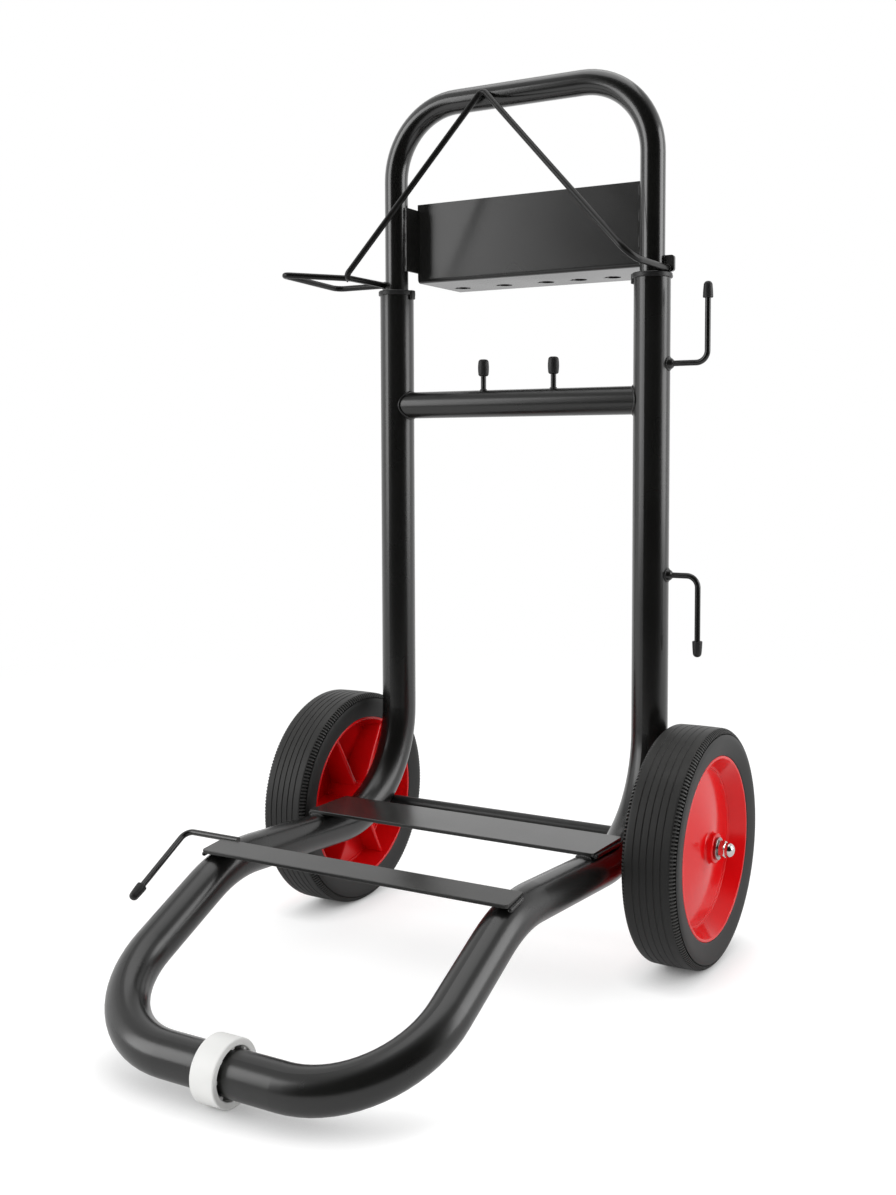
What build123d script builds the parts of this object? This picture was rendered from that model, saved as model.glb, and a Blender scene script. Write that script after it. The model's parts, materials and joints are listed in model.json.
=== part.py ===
from build123d import *
import math
import os

# Pressure washer cart: one bent tube on two wheels, with a handle that slides in the uprights.
# Millimetres. +X is the side of the cord hooks, -Y is the front, +Z is up, the floor is Z = 0.
# The origin is on the floor, under the middle of the bounding box.

# Fits
weld_gap = 0.05
running_fit = 0.05
sliding_fit = 0.30
side_play = 0.30
rest_gap = 0.30

# Frame tube
tube_d = 32.0
tube_wall = 1.5
upright_spacing = 264.0
upright_top = 586.2
rear_bend_r = 95.0
rail_drop = 10.4
rail_rise = 3.0
front_bend_ahead = 231.6
front_bend_r = 115.0
front_bar_ahead = 390.1
loop_corner_r = 82.0

# Axle, spacers, washers and cap nuts
axle_d = 12.0
stud_d = 8.0
washer_d = 19.0
washer_t = 2.0
spacer_d = 20.0
nut_width = 13.0
nut_hex_h = 6.0
nut_h = 13.0
nut_dome_d = 12.0
nut_dome_round = 4.0
nut_end_wall = 2.2

# Wheels
wheel_d = 203.0
tyre_gap = 9.0
tyre_width = 48.0
tread_width = 31.0
shoulder_drop = 9.5
sidewall_inset = 2.5
groove_count = 5
groove_pitch = 6.0
groove_w = 1.0
groove_depth = 0.8
lip_d = 156.0
lip_span = 43.0
lip_t = 3.0
lip_h = 2.0
lip_wall = 2.5
dish_d = 135.0
dish_face = 7.0
disc_t = 4.0
disc_crown = 9.0
hub_d = 25.4
hub_span = 44.0
inner_hub_d = 30.0
inner_wall_d = 141.0
rib_count = 6
rib_start = 0.5  # of a step between ribs
rib_t = 4.0
rib_hub_inset = 5.0
rib_lip_inset = 6.0

# Cross bar and its two pegs
bar_d = 25.0
bar_z = 481.8
rod_d = 5.0
peg_spacing = 72.8
peg_rise = 25.7

# Rubber end caps, fatter on the pegs
cap_d = 8.8
cap_tip_d = 7.4
cap_length = 14.0
cap_cover = 11.5
cap_round = 2.5
peg_cap_d = 10.2
peg_cap_length = 15.6
peg_cap_cover = 13.0
peg_cap_round = 2.4

# Cord hooks on one upright and lance hook on the rail
hook_boss_d = 10.4
hook_bend_r = 10.0
upper_hook_z = 512.5
upper_hook_out = 35.0
upper_hook_rise = 65.7
lower_hook_z = 330.0
lower_hook_out = 28.0
lower_hook_fall = 67.5
lance_hook_out = 49.7
lance_hook_inner = 6.0
lance_hook_length = 72.5
lance_hook_fall = 31.5
lance_bend_r = 8.0

# Straps that carry the pump
strap_t = 3.0
strap_corner_r = 6.0
strap_lip = 2.5
lip_angle = 45.0
rear_strap_ahead = 57.0
rear_strap_w = 56.0
front_strap_ahead = 228.2
front_strap_w = 25.0
front_strap_tilt = 6.5

# Foot ring on the front bar
ring_d = 46.0
ring_bore_d = 36.0
ring_w = 20.0
ring_chamfer = 1.5
nub_count = 8
nub_w = 3.0
nub_length = 2.5
nub_sink = 1.0

# Collars in the tops of the uprights
collar_d = 35.0
collar_flange_h = 4.5
collar_depth = 30.0
lug_out = 1.5
lug_w = 6.0
lug_h = 8.5

# Handle
leg_d = 22.0
leg_wall = 1.5
handle_rise = 174.2
handle_corner_r = 67.0
handle_travel = 180.0
glide_length = 30.0
glide_floor = 3.0

# Nozzle panel
sheet_t = 2.0
panel_set_back = 20.0
panel_lift = 13.8
panel_h = 74.5
panel_bend_r = 4.0
bend_land = 1.0
flange_bottom_inset = 9.0
flange_top_inset = 6.0
flange_overlap = 3.0
shelf_depth = 77.0
shelf_right_inset = 10.0
nozzle_hole_d = 15.0
nozzle_hole_share = (-0.835, -0.4465, -0.066, 0.223, 0.5126)
nozzle_hole_back = 52.0
key_notch_d = 3.5
key_notch_offset = 8.25

# Hose hanger and gun loop
wire_d = 5.5
hanger_left_reach = 65.0
hanger_right_reach = 78.0
hanger_left_lift = 3.5
hanger_apex_x = -29.0
hanger_apex_rise = 3.5
hanger_bend_r = 5.0
hanger_right_bend_r = 14.0
tab_t = 3.0
tab_corner_r = 2.5
left_tab_out = 5.6
left_tab_h = 9.3
right_tab_out = 9.0
right_tab_h = 14.0
loop_out = 57.0
loop_reach = 87.0
loop_join = 56.0
loop_front_lift = 3.4
loop_rear_bend_r = 9.0
loop_front_bend_r = 5.0

# Places that follow from the sizes above
tube_r = tube_d / 2
tube_ir = tube_r - tube_wall
leg_r = leg_d / 2
wire_r = wire_d / 2
rod_r = rod_d / 2
wheel_r = wheel_d / 2
axle_z = wheel_r
upright_x = upright_spacing / 2
wheel_centre = upright_x + tube_r + tyre_gap + tyre_width / 2
ring_r = ring_d / 2
rise = math.radians(rail_rise)

rail_corner_z = axle_z - rail_drop
bend_tangent = rear_bend_r * math.tan(math.radians(90 + rail_rise) / 2)
bend_z = rail_corner_z + bend_tangent
axle_to_bend = rear_bend_r + tube_r + axle_d / 2 + weld_gap
upright_behind = rear_bend_r - math.sqrt(axle_to_bend**2 - (bend_z - axle_z) ** 2)
rear_reach = max(wheel_r, upright_behind + panel_set_back + sheet_t + shelf_depth)
front_reach = front_bar_ahead + ring_r
axle_y = (front_reach - rear_reach) / 2
upright_y = axle_y + upright_behind
bend_y = upright_y - rear_bend_r
front_bend_y = axle_y - front_bend_ahead
front_bar_y = axle_y - front_bar_ahead

front_bend_z = rail_corner_z + (upright_y - front_bend_y) * math.tan(rise)
leg_slope = math.atan2(front_bend_z - ring_r, front_bend_y - front_bar_y)
front_tangent = front_bend_r * math.tan((rise + leg_slope) / 2)
crest_y = front_bend_y + front_tangent * math.cos(rise) - front_bend_r * math.sin(rise)
crest_z = front_bend_z - front_tangent * math.sin(rise) - front_bend_r * math.cos(rise)

collar_top = upright_top + collar_flange_h
handle_top = upright_top + handle_rise
panel_bottom = upright_top + panel_lift
panel_top = panel_bottom + panel_h
hanger_z = collar_top + rest_gap + wire_r
hanger_left_z = hanger_z + hanger_left_lift
hanger_x = upright_x + leg_r + wire_r + weld_gap
glide_top = upright_top - collar_depth - rest_gap - handle_travel
leg_bottom = glide_top - glide_length + glide_floor
panel_y = upright_y + panel_set_back
panel_half = upright_x - leg_r - weld_gap

hub_in = wheel_centre - hub_span / 2
hub_out = wheel_centre + hub_span / 2
axle_shoulder = hub_out + side_play
washer_out = axle_shoulder + washer_t
nut_bore_depth = nut_h - nut_end_wall
stud_end = washer_out + nut_bore_depth - rest_gap

SIDES = (("left", -1), ("right", 1))


def tube_top(y):
    """Height of the frame tube's upper side at a place along the cart."""
    bend_start = upright_y - bend_tangent * math.cos(rise)
    if y > bend_start:
        return bend_z - math.sqrt((rear_bend_r - tube_r) ** 2 - (y - bend_y) ** 2)
    if y < crest_y + (front_bend_r + tube_r) * math.sin(rise):
        return crest_z + math.sqrt((front_bend_r + tube_r) ** 2 - (y - crest_y) ** 2)
    return rail_corner_z + (upright_y - y) * math.tan(rise) + tube_r / math.cos(rise)


def bent_rod(points, bend_r, radius, bore=0.0):
    """Round rod, or tube with a bore, along straight runs joined by arcs."""
    with BuildPart() as rod:
        with BuildLine() as route:
            FilletPolyline(*points, radius=bend_r)
        with BuildSketch(Plane(origin=route.line @ 0, z_dir=route.line % 0)):
            Circle(radius)
            if bore > 0:
                Circle(bore, mode=Mode.SUBTRACT)
        sweep(path=route.wire())
    return rod.part


def end_cap(tip, direction):
    """Rubber cap pushed over a rod: tapered, with a rounded tip, open towards the rod."""
    with BuildPart(Plane(origin=tip, z_dir=direction)) as cap:
        with Locations((0, 0, -cap_cover)):
            Cone(cap_d / 2, cap_tip_d / 2, cap_length, align=(Align.CENTER, Align.CENTER, Align.MIN))
        fillet(cap.edges().sort_by(Axis(tip, direction))[-1], cap_round)
        with Locations((0, 0, -cap_cover)):
            Cylinder(
                rod_r,
                cap_cover,
                align=(Align.CENTER, Align.CENTER, Align.MIN),
                mode=Mode.SUBTRACT,
            )
    return cap.part


def peg_cap(tip):
    """Rubber cap for an upright peg, rounded at both ends, open below."""
    with BuildPart(Plane(origin=tip)) as cap:
        with Locations((0, 0, -peg_cap_cover)):
            Cylinder(peg_cap_d / 2, peg_cap_length, align=(Align.CENTER, Align.CENTER, Align.MIN))
        fillet(cap.edges().filter_by(GeomType.CIRCLE), peg_cap_round)
        with Locations((0, 0, -peg_cap_cover)):
            Cylinder(
                rod_r,
                peg_cap_cover,
                align=(Align.CENTER, Align.CENTER, Align.MIN),
                mode=Mode.SUBTRACT,
            )
    return cap.part


def write(part, name):
    """Label a finished piece and write it under its name."""
    part.label = name
    export_step(part, f"parts/{name}.step")


os.makedirs("parts", exist_ok=True)

# Frame tube: upright, rear bend, rail, front bend, leg, front bar, and back again
left_half = [
    (-upright_x, upright_y, upright_top),
    (-upright_x, upright_y, rail_corner_z),
    (-upright_x, front_bend_y, front_bend_z),
    (-upright_x, front_bar_y, ring_r),
]
right_half = [(-x, y, z) for x, y, z in reversed(left_half)]
frame_bends = [rear_bend_r, front_bend_r, loop_corner_r]
frame_tube = bent_rod(left_half + right_half, frame_bends + frame_bends[::-1], tube_r, tube_ir)
write(frame_tube, "frame_tube")

# Cross bar, coped to the uprights
with BuildPart() as cross_bar:
    with BuildSketch(Plane.YZ.offset(-upright_x)):
        with Locations((upright_y, bar_z)):
            Circle(bar_d / 2)
    extrude(amount=upright_spacing)
    with Locations((-upright_x, upright_y, bar_z), (upright_x, upright_y, bar_z)):
        Cylinder(tube_r + weld_gap, 2 * bar_d, mode=Mode.SUBTRACT)
write(cross_bar.part, "cross_bar")

# Pegs on the cross bar, each with a rubber cap
for side, sign in SIDES:
    peg_x = sign * peg_spacing / 2
    peg_top = bar_z + bar_d / 2 + peg_rise
    with BuildPart() as peg:
        with BuildSketch(Plane.XY.offset(bar_z)):
            with Locations((peg_x, upright_y)):
                Circle(rod_r)
        extrude(amount=peg_top - bar_z)
        with Locations((peg_x, upright_y, bar_z)):
            Cylinder(bar_d / 2 + weld_gap, bar_d, rotation=(0, 90, 0), mode=Mode.SUBTRACT)
    write(peg.part, f"bar_peg_{side}")
    write(peg_cap((peg_x, upright_y, peg_top)), f"bar_peg_cap_{side}")


def strap(back_y, width, tilt=0.0):
    """Flat strap across both rails, tilted down to the front, its ends bent down over the tubes."""
    lean = math.radians(tilt)
    front_y = back_y - width * math.cos(lean)
    touch_y = min(max(crest_y - (front_bend_r + tube_r) * math.sin(lean), front_y), back_y)
    back_z = max(tube_top(y) + (back_y - y) * math.tan(lean) for y in (back_y, touch_y, front_y)) + weld_gap
    section = Plane((0, back_y, back_z), x_dir=(1, 0, 0), z_dir=(0, -math.cos(lean), -math.sin(lean)))
    slope = math.radians(lip_angle)
    fold_in = upright_x + (tube_r + weld_gap) * math.tan(slope / 2)
    fold_out = fold_in + strap_t * math.tan(slope / 2)
    end_in = (fold_in + strap_lip * math.cos(slope), -strap_lip * math.sin(slope))
    end_out = (end_in[0] + strap_t * math.sin(slope), end_in[1] + strap_t * math.cos(slope))
    half = [(0, 0), (fold_in, 0), end_in, end_out, (fold_out, strap_t), (0, strap_t)]
    with BuildPart() as plate:
        with BuildSketch(section):
            with BuildLine():
                Polyline(*half, close=True)
            make_face()
            mirror(about=Plane.YZ)
        extrude(amount=width)
        with BuildSketch(Plane(section.origin, x_dir=(1, 0, 0), z_dir=section.y_dir).offset(end_in[1])):
            with Locations((0, -width / 2)):
                RectangleRounded(2 * end_out[0], width, strap_corner_r)
        extrude(amount=strap_t - end_in[1], mode=Mode.INTERSECT)
    return plate.part


front_strap_y = axle_y - front_strap_ahead
write(strap(axle_y - rear_strap_ahead, rear_strap_w), "rear_strap")
write(strap(front_strap_y, front_strap_w, front_strap_tilt), "front_strap")

# Lance hook: along the front strap's back edge, out past the rail, then forward and down
lance_y = front_strap_y + rod_r + weld_gap
lance_z = tube_top(lance_y) + rod_r + weld_gap
lance_x = -upright_x - lance_hook_out
lance_fall = math.radians(lance_hook_fall)
lance_direction = (0, -math.cos(lance_fall), -math.sin(lance_fall))
lance_end = (
    lance_x,
    lance_y + lance_hook_length * lance_direction[1],
    lance_z + lance_hook_length * lance_direction[2],
)
lance_route = [(lance_hook_inner - upright_x, lance_y, lance_z), (lance_x, lance_y, lance_z), lance_end]
write(bent_rod(lance_route, lance_bend_r, rod_r), "lance_hook")
write(end_cap(lance_end, lance_direction), "lance_hook_cap")


def cord_hook(z, out, end_z):
    """Rod from a weld boss on the upright, out sideways and then up or down."""
    root_x = upright_x + tube_r
    route = [(upright_x, upright_y, z), (root_x + out, upright_y, z), (root_x + out, upright_y, end_z)]
    with BuildPart() as hook:
        add(bent_rod(route, hook_bend_r, rod_r))
        with Locations((root_x, upright_y, z)):
            Sphere(hook_boss_d / 2, rotation=(0, 90, 0))
        with Locations((upright_x, upright_y, z)):
            Cylinder(tube_r + weld_gap, 2 * hook_boss_d, mode=Mode.SUBTRACT)
    return hook.part


for level, hook_z, hook_out, hook_run in (
    ("upper", upper_hook_z, upper_hook_out, upper_hook_rise),
    ("lower", lower_hook_z, lower_hook_out, -lower_hook_fall),
):
    hook_end = (upright_x + tube_r + hook_out, upright_y, hook_z + hook_run)
    write(cord_hook(hook_z, hook_out, hook_end[2]), f"cord_hook_{level}")
    write(end_cap(hook_end, (0, 0, math.copysign(1, hook_run))), f"cord_hook_cap_{level}")

# Foot ring, held on the front bar by nubs at both ends of its bore
with BuildPart() as foot_ring:
    with BuildSketch(Plane.YZ.offset(-ring_w / 2)):
        with Locations((front_bar_y, ring_r)):
            Circle(ring_r)
            Circle(ring_bore_d / 2, mode=Mode.SUBTRACT)
    extrude(amount=ring_w)
    chamfer(foot_ring.edges().filter_by(GeomType.CIRCLE), ring_chamfer)
    nub_h = ring_bore_d / 2 - tube_r - weld_gap
    nub_centre = (ring_bore_d + nub_sink - nub_h) / 2
    for nub_x in (-ring_w / 2 + ring_chamfer, ring_w / 2 - ring_chamfer - nub_length):
        with BuildSketch(Plane.YZ.offset(nub_x)):
            with Locations((front_bar_y, ring_r)):
                with PolarLocations(nub_centre, nub_count):
                    Rectangle(nub_h + nub_sink, nub_w)
        extrude(amount=nub_length)
write(foot_ring.part, "foot_ring")

# Axle: a plain bar with a threaded stud at each end
with BuildPart() as axle:
    with Locations((0, axle_y, axle_z)):
        Cylinder(axle_d / 2, 2 * axle_shoulder, rotation=(0, 90, 0))
        Cylinder(stud_d / 2, 2 * stud_end, rotation=(0, 90, 0))
write(axle.part, "axle")


def ring_on_axle(sign, near, far, outer, inner):
    """Plain ring around the axle, between two distances from the middle of the cart."""
    with BuildPart() as ring:
        with BuildSketch(Plane.YZ.offset(sign * near)):
            with Locations((axle_y, axle_z)):
                Circle(outer)
                Circle(inner, mode=Mode.SUBTRACT)
        extrude(amount=sign * (far - near))
    return ring.part


def cap_nut(sign):
    """Hexagon nut with a domed, closed outer end."""
    with BuildPart() as nut:
        with BuildSketch(Plane.YZ.offset(sign * washer_out)):
            with Locations((axle_y, axle_z)):
                RegularPolygon(nut_width / 2, 6, major_radius=False)
        extrude(amount=sign * nut_hex_h)
        with BuildSketch(Plane.YZ.offset(sign * washer_out)):
            with Locations((axle_y, axle_z)):
                Circle(nut_dome_d / 2)
        extrude(amount=sign * nut_h)
        rims = nut.edges().filter_by(GeomType.CIRCLE).sort_by(Axis.X)
        fillet(rims[-1 if sign > 0 else 0], nut_dome_round)
        with BuildSketch(Plane.YZ.offset(sign * washer_out)):
            with Locations((axle_y, axle_z)):
                Circle(stud_d / 2 + weld_gap)
        extrude(amount=sign * nut_bore_depth, mode=Mode.SUBTRACT)
    return nut.part


def tyre_profile():
    """Half section of the tyre: distance along the axle from its middle, then radius."""
    half = tyre_width / 2
    seat = lip_span / 2 - lip_t
    lip_r = lip_d / 2
    shoulder_r = wheel_r - shoulder_drop
    tread_edge = tread_width / 2
    bead = (half - sidewall_inset, lip_r)
    shoulder_mid = (
        tread_edge + (half - tread_edge) * math.sqrt(0.5),
        shoulder_r + shoulder_drop * math.sqrt(0.5),
    )
    with BuildSketch() as section:
        with BuildLine():
            Polyline((0, lip_r - lip_h), (seat, lip_r - lip_h), (seat, lip_r), bead)
            Line(bead, (half, shoulder_r))
            ThreePointArc((half, shoulder_r), shoulder_mid, (tread_edge, wheel_r))
            Polyline((tread_edge, wheel_r), (0, wheel_r), (0, lip_r - lip_h))
        make_face()
        mirror(about=Plane.YZ)
        with Locations((0, wheel_r)):
            with GridLocations(groove_pitch, 1, groove_count, 1):
                Rectangle(groove_w, 2 * groove_depth, mode=Mode.SUBTRACT)
    return section.sketch


def rim_profile():
    """Half section of the rim: distance along the axle towards the outside, then radius."""
    lip_r = lip_d / 2
    lip_x = lip_span / 2
    seat = lip_x - lip_t
    bore_r = axle_d / 2 + running_fit
    hub_r = hub_d / 2
    inner_r = inner_hub_d / 2
    crown = dish_face + disc_crown
    with BuildSketch() as section:
        with BuildLine():
            Polyline(
                (crown, hub_r),
                (hub_span / 2, hub_r),
                (hub_span / 2, bore_r),
                (-hub_span / 2, bore_r),
                (-hub_span / 2, inner_r),
                (crown - disc_t, inner_r),
                (dish_face - disc_t, inner_wall_d / 2),
                (-lip_x, lip_r - lip_wall),
                (-lip_x, lip_r),
                (-seat, lip_r),
                (-seat, lip_r - lip_h),
                (seat, lip_r - lip_h),
                (seat, lip_r),
                (lip_x, lip_r),
                (lip_x, lip_r - lip_wall),
                (dish_face, dish_d / 2),
                (crown, hub_r),
            )
        make_face()
    return section.sketch


def wheel_part(profile, sign):
    """Turn a half section about the axle, with the outside of the wheel at the cart's side."""
    middle = (sign * wheel_centre, axle_y, axle_z)
    with BuildPart() as ring:
        with BuildSketch(Plane(origin=middle, x_dir=(sign, 0, 0), z_dir=(0, -sign, 0))):
            add(profile)
        revolve(axis=Axis((0, axle_y, axle_z), (1, 0, 0)))
    return ring.part


def rim(sign):
    """Dished disc with a hub and a lipped barrel, ribbed on the inner side."""
    rib_root = inner_hub_d / 2 - rib_t / 2
    rib_end = (lip_d - lip_h - lip_wall) / 2
    outline = [
        (dish_face + disc_crown - disc_t / 2, rib_root),
        (rib_hub_inset - hub_span / 2, rib_root),
        (rib_lip_inset - lip_span / 2, rib_end),
        (dish_face - disc_t / 2, rib_end),
    ]
    with BuildPart() as body:
        add(wheel_part(rim_profile(), sign))
        for count in range(rib_count):
            turn = Rotation(360 * (count + rib_start) / rib_count, 0, 0)
            rib_plane = Plane(
                origin=(sign * wheel_centre, axle_y, axle_z),
                x_dir=(sign, 0, 0),
                z_dir=(turn * Pos(0, -sign, 0)).position,
            )
            with BuildSketch(rib_plane):
                with BuildLine():
                    Polyline(*outline, close=True)
                make_face()
            extrude(amount=rib_t / 2, both=True)
    return body.part


for side, sign in SIDES:
    spacer_near = upright_x + tube_r + weld_gap
    write(
        ring_on_axle(sign, spacer_near, hub_in - side_play, spacer_d / 2, axle_d / 2 + weld_gap),
        f"wheel_spacer_{side}",
    )
    write(
        ring_on_axle(sign, axle_shoulder, washer_out, washer_d / 2, stud_d / 2 + weld_gap),
        f"wheel_washer_{side}",
    )
    write(cap_nut(sign), f"axle_nut_{side}")
    write(wheel_part(tyre_profile(), sign), f"tyre_{side}")
    write(rim(sign), f"rim_{side}")

# Collars: a sleeve in the upright, a flange on its top, and a lug on the inner side
for side, sign in SIDES:
    lug_span = collar_d / 2 + lug_out
    with BuildPart() as collar:
        with BuildSketch(Plane.XY.offset(upright_top)):
            with Locations((sign * upright_x, upright_y)):
                Circle(collar_d / 2)
        extrude(amount=collar_flange_h)
        with BuildSketch(Plane.XY.offset(collar_top)):
            with Locations((sign * (upright_x - lug_span / 2), upright_y)):
                Rectangle(lug_span, lug_w)
        extrude(amount=-lug_h)
        with Locations((sign * upright_x, upright_y, upright_top)):
            Cylinder(
                tube_r + weld_gap,
                lug_h,
                align=(Align.CENTER, Align.CENTER, Align.MAX),
                mode=Mode.SUBTRACT,
            )
        with BuildSketch(Plane.XY.offset(upright_top)):
            with Locations((sign * upright_x, upright_y)):
                Circle(tube_ir - weld_gap)
        extrude(amount=-collar_depth)
        with Locations((sign * upright_x, upright_y, upright_top)):
            Cylinder(leg_r + sliding_fit, 3 * collar_depth, mode=Mode.SUBTRACT)
    write(collar.part, f"collar_{side}")

# Handle tube: an upturned U whose legs reach down into the uprights
handle_route = [
    (-upright_x, upright_y, leg_bottom),
    (-upright_x, upright_y, handle_top),
    (upright_x, upright_y, handle_top),
    (upright_x, upright_y, leg_bottom),
]
write(bent_rod(handle_route, handle_corner_r, leg_r, leg_r - leg_wall), "handle_tube")

# Glides: closed sleeves on the lower ends of the legs, guided by the bore of the uprights
for side, sign in SIDES:
    with BuildPart() as glide:
        with BuildSketch(Plane.XY.offset(leg_bottom - glide_floor)):
            with Locations((sign * upright_x, upright_y)):
                Circle(tube_ir - sliding_fit)
        extrude(amount=glide_length)
        with BuildSketch(Plane.XY.offset(leg_bottom)):
            with Locations((sign * upright_x, upright_y)):
                Circle(leg_r)
        extrude(amount=glide_length, mode=Mode.SUBTRACT)
    write(glide.part, f"handle_glide_{side}")

# Nozzle panel: plate with side flanges bent forward to the legs
flange_front = upright_y - flange_overlap
plate_bottom = panel_bottom + panel_bend_r + bend_land + weld_gap
with BuildPart() as nozzle_panel:
    with BuildSketch(Plane.XY.offset(panel_bottom + flange_bottom_inset)):
        with Locations((0, flange_front)):
            Rectangle(2 * panel_half, panel_y + sheet_t - flange_front, align=(Align.CENTER, Align.MIN))
        with Locations((0, flange_front)):
            Rectangle(
                2 * (panel_half - sheet_t),
                panel_y - flange_front,
                align=(Align.CENTER, Align.MIN),
                mode=Mode.SUBTRACT,
            )
    extrude(amount=panel_h - flange_bottom_inset - flange_top_inset)
    with BuildSketch(Plane.XY.offset(plate_bottom)):
        with Locations((0, panel_y)):
            Rectangle(2 * panel_half, sheet_t, align=(Align.CENTER, Align.MIN))
    extrude(amount=panel_top - plate_bottom)
write(nozzle_panel.part, "nozzle_panel")

# Nozzle shelf: bent back at the foot of the panel, cut short on the right, with a keyed hole for each nozzle
shelf_back = panel_y + sheet_t + shelf_depth
land_top = plate_bottom - weld_gap
with BuildPart() as nozzle_shelf:
    with BuildSketch(Plane.YZ.offset(-panel_half)):
        with BuildLine():
            FilletPolyline(
                (panel_y, land_top),
                (panel_y, panel_bottom),
                (shelf_back, panel_bottom),
                radius=panel_bend_r,
            )
            Line((shelf_back, panel_bottom), (shelf_back, panel_bottom + sheet_t))
            FilletPolyline(
                (shelf_back, panel_bottom + sheet_t),
                (panel_y + sheet_t, panel_bottom + sheet_t),
                (panel_y + sheet_t, land_top),
                radius=panel_bend_r - sheet_t,
            )
            Line((panel_y + sheet_t, land_top), (panel_y, land_top))
        make_face()
    extrude(amount=2 * panel_half - shelf_right_inset)
    with BuildSketch(Plane.XY.offset(panel_bottom)):
        for share in nozzle_hole_share:
            hole_x = share * panel_half
            with Locations((hole_x, panel_y + nozzle_hole_back)):
                Circle(nozzle_hole_d / 2)
            with Locations((hole_x - key_notch_offset, panel_y + nozzle_hole_back)):
                Circle(key_notch_d / 2)
    extrude(amount=sheet_t, mode=Mode.SUBTRACT)
write(nozzle_shelf.part, "nozzle_shelf")

# Hanger tabs on the outer sides of the handle legs
for (side, sign), tab_out, tab_h in zip(SIDES, (left_tab_out, right_tab_out), (left_tab_h, right_tab_h)):
    with BuildPart() as tab:
        with BuildSketch(Plane.XZ.offset(-upright_y)) as outline:
            with Locations((sign * upright_x, collar_top + rest_gap)):
                Rectangle(
                    leg_r + tab_out,
                    tab_h,
                    align=(Align.MIN if sign > 0 else Align.MAX, Align.MIN),
                )
            fillet(outline.vertices().group_by(Axis.X)[-1 if sign > 0 else 0], tab_corner_r)
        extrude(amount=-tab_t)
        with Locations((sign * upright_x, upright_y, collar_top)):
            Cylinder(leg_r + weld_gap, 4 * tab_h, mode=Mode.SUBTRACT)
    write(tab.part, f"hanger_tab_{side}")

# Hose hanger: one wire from tab to tab, by way of a peak on the front of the handle's top bar
hanger_apex_y = upright_y - leg_r - wire_r - weld_gap
hanger_route = [
    (-hanger_x, upright_y - weld_gap, hanger_left_z),
    (-hanger_x, upright_y - hanger_left_reach, hanger_left_z),
    (hanger_apex_x, hanger_apex_y, handle_top + hanger_apex_rise),
    (hanger_x, upright_y - hanger_right_reach, hanger_z),
    (hanger_x, upright_y - weld_gap, hanger_z),
]
hanger_bends = [hanger_bend_r, hanger_bend_r, hanger_right_bend_r]
write(bent_rod(hanger_route, hanger_bends, wire_r), "hose_hanger")

# Gun loop: from the left tab out, forward and a little up, and back to the side of the hanger's rod
left_tab_edge = -upright_x - leg_r - left_tab_out
loop_x = -hanger_x - loop_out
loop_start_y = upright_y + tab_t / 2
loop_end_y = upright_y - loop_join
loop_route = [
    (left_tab_edge - weld_gap, loop_start_y, hanger_left_z),
    (loop_x, loop_start_y, hanger_left_z),
    (loop_x, upright_y - loop_reach, hanger_left_z + loop_front_lift),
    (-hanger_x, loop_end_y, hanger_left_z),
]
with BuildPart() as gun_loop:
    add(bent_rod(loop_route, [loop_rear_bend_r, loop_front_bend_r], wire_r))
    with Locations((-hanger_x, loop_end_y, hanger_left_z)):
        Cylinder(wire_r + weld_gap, 2 * loop_reach, rotation=(90, 0, 0), mode=Mode.SUBTRACT)
write(gun_loop.part, "gun_loop")
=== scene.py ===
import json
import math

import bmesh
import bpy
import numpy as np
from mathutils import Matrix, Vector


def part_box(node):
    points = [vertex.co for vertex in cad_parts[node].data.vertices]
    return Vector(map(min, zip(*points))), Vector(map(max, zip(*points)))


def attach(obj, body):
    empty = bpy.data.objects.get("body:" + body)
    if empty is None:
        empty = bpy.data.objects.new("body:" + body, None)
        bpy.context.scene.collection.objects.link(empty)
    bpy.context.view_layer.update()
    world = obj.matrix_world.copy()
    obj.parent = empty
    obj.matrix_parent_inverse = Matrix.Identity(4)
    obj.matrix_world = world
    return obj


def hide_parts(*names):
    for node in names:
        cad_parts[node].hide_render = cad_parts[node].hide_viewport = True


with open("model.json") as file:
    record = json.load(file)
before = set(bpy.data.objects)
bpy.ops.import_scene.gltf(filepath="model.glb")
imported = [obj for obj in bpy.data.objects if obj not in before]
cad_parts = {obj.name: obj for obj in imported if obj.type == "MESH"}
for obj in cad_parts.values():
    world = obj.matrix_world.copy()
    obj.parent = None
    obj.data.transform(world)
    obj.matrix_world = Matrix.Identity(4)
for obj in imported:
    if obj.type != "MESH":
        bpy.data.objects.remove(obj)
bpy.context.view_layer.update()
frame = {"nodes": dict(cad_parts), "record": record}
scene = bpy.context.scene
nodes = frame["nodes"]

MM = 0.001
SIDES = (("left", -1.0), ("right", 1.0))
LEVELS = (("upper", 1.0), ("lower", -1.0))

# Sizes shared with the solids, in metres
axle_low, axle_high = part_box("axle")
AXLE_Y = (axle_low.y + axle_high.y) / 2
AXLE_Z = (axle_low.z + axle_high.z) / 2
tyre_low, tyre_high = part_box("tyre_right")
WHEEL_X = (tyre_low.x + tyre_high.x) / 2
WHEEL_R = (tyre_high.z - tyre_low.z) / 2
tube_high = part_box("frame_tube")[1]
TUBE_R = 16 * MM
ROD_R = 2.5 * MM
UPRIGHT_X = tube_high.x - TUBE_R
UPRIGHT_Y = tube_high.y - TUBE_R
bar_low, bar_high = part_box("cross_bar")
BAR_R = (bar_high.z - bar_low.z) / 2
BAR_Z = (bar_high.z + bar_low.z) / 2
lance_low, lance_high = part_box("lance_hook")


# Mesh helpers: the distance in metres at which two points are one, the half angle in radians of a nearly
# straight corner, and the rise of an axis from which it counts as upright

DOUBLE = 1e-7
STRAIGHT = 1.5
STEEP = 0.9


def smooth(x, low, high):
    """Smooth step: 0 below low, 1 above high, a cubic between them."""
    t = np.clip((x - low) / (high - low), 0.0, 1.0)
    return t * t * (3 - 2 * t)


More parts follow.
